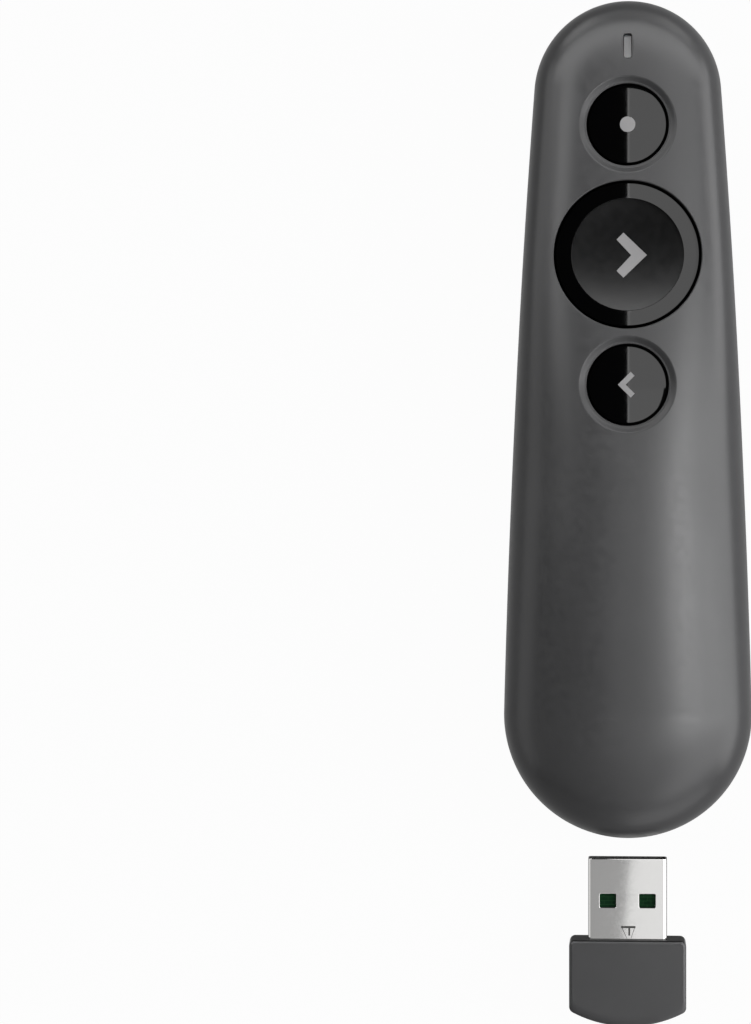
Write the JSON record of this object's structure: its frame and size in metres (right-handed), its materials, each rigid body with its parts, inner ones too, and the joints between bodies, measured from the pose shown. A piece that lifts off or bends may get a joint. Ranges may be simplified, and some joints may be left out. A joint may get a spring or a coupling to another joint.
{
  "type": "wireless presentation clicker",
  "caption": "Slim handheld presentation remote with a dished main button between two round buttons, a laser in its nose and a USB receiver that docks in its tail.",
  "frame": {"origin": "middle of the footprint on the table that the clicker lies on, with the receiver pulled out", "axes": "+Y along the body from the receiver to the laser nose, +Z out of the button deck, +X to the right seen from above with the nose ahead"},
  "size_m": [0.0372, 0.1548, 0.025],
  "materials": {
    "case": "fine matt soft-touch graphite",
    "button": "polished black",
    "moulding": "plain black moulding",
    "circuit_board": "green solder mask",
    "chip": "moulded epoxy",
    "light_pipe": "translucent diffuser",
    "brass": "turned and plated",
    "plated_metal": "bright nickel plate",
    "laser_window": "dark red filter",
    "cell_can": "plain can",
    "foam": "closed-cell foam"
  },
  "bodies": {
    "housing": {"top_cover": "case", "bottom_cover": "case", "receiver_dock": "moulding", "battery_tray": "moulding", "main_board": "circuit_board", "radio_chip": "chip", "board_parts": "chip", "laser_switch": "chip", "next_switch": "chip", "back_switch": "chip", "status_led": "light_pipe", "light_pipe": "light_pipe", "laser_barrel": "brass", "laser_diode": "plated_metal", "laser_lens": "light_pipe", "laser_flex": "circuit_board", "nose_bezel": "button", "nose_window": "laser_window", "battery_cell": "cell_can", "battery_spring": "plated_metal", "negative_contact": "plated_metal", "positive_contact": "plated_metal", "cover_screws": "plated_metal", "board_screws": "plated_metal"},
    "laser_button": {"laser_button_cap": "button", "laser_switch_plunger": "moulding"},
    "next_button": {"next_button_cap": "button", "next_switch_plunger": "moulding"},
    "back_button": {"back_button_cap": "button", "back_switch_plunger": "moulding"},
    "battery_door": {"battery_door": "case", "door_pad": "foam"},
    "receiver": {"receiver_cap": "case", "usb_shell": "plated_metal", "usb_insert": "moulding", "usb_contacts": "brass", "receiver_board": "circuit_board", "receiver_chip": "chip"}
  },
  "joints": [
    {"name": "laser_button_press", "type": "slide", "parent": "housing", "child": "laser_button", "axis": [0, 0, -1], "range_m": [0, 0.0006], "stiffness_N_per_m": 1500, "springref_m": -0.0005},
    {"name": "next_button_press", "type": "slide", "parent": "housing", "child": "next_button", "axis": [0, 0, -1], "range_m": [0, 0.0008], "stiffness_N_per_m": 1500, "springref_m": -0.0005},
    {"name": "back_button_press", "type": "slide", "parent": "housing", "child": "back_button", "axis": [0, 0, -1], "range_m": [0, 0.0006], "stiffness_N_per_m": 1500, "springref_m": -0.0005},
    {"name": "battery_door_hinge", "type": "hinge", "parent": "housing", "child": "battery_door", "pos_m": [0, 0.03415, 0.001], "axis": [1, 0, 0], "range_deg": [0, 60]},
    {"name": "receiver_slide", "type": "slide", "parent": "housing", "child": "receiver", "axis": [0, 1, 0], "range_m": [0, 0.0297]}
  ]
}
